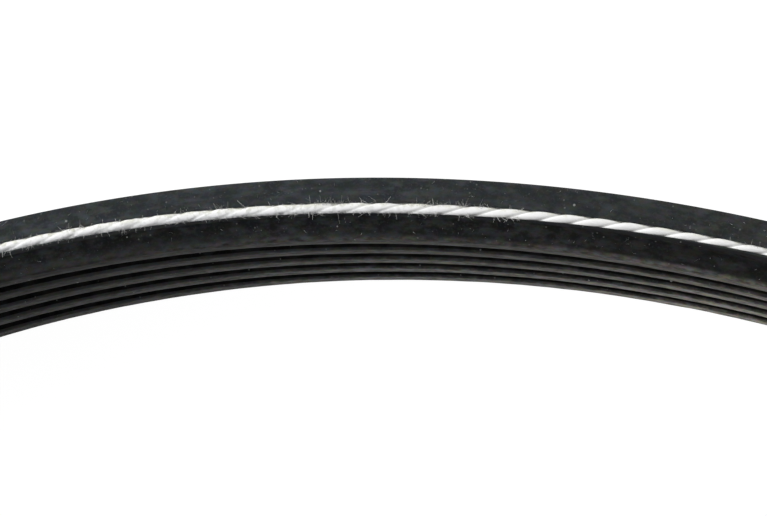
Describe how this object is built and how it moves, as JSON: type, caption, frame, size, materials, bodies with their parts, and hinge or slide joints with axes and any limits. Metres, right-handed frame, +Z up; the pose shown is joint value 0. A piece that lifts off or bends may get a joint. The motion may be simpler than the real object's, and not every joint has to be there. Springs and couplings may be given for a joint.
{
  "type": "serpentine belt",
  "caption": "Endless multi-rib rubber drive belt, lying on its cut edge as a round loop: lengthwise V ribs inside, plain back outside, white twisted cord at the cut edges.",
  "frame": {"origin": "centre of the loop, on the surface that the belt lies on with its lower cut edge", "axes": "+Z up through the loop, across the belt's width; +X and +Y lie in the plane of the loop. The belt comes out of the picture's view towards +Y: the pictured stretch of the loop is the one crossed by +Y, with its upper cut edge facing +Z and its ribs facing -Y"},
  "size_m": [0.254, 0.254, 0.018],
  "materials": {
    "rubber": "matte black rubber, fine grain, dusted with lint",
    "cord": "white twisted polyester cord, slightly frayed"
  },
  "bodies": {
    "root": {"belt_body": "rubber", "tensile_cord_upper_edge": "cord", "tensile_cord_lower_edge": "cord"}
  },
  "joints": []
}
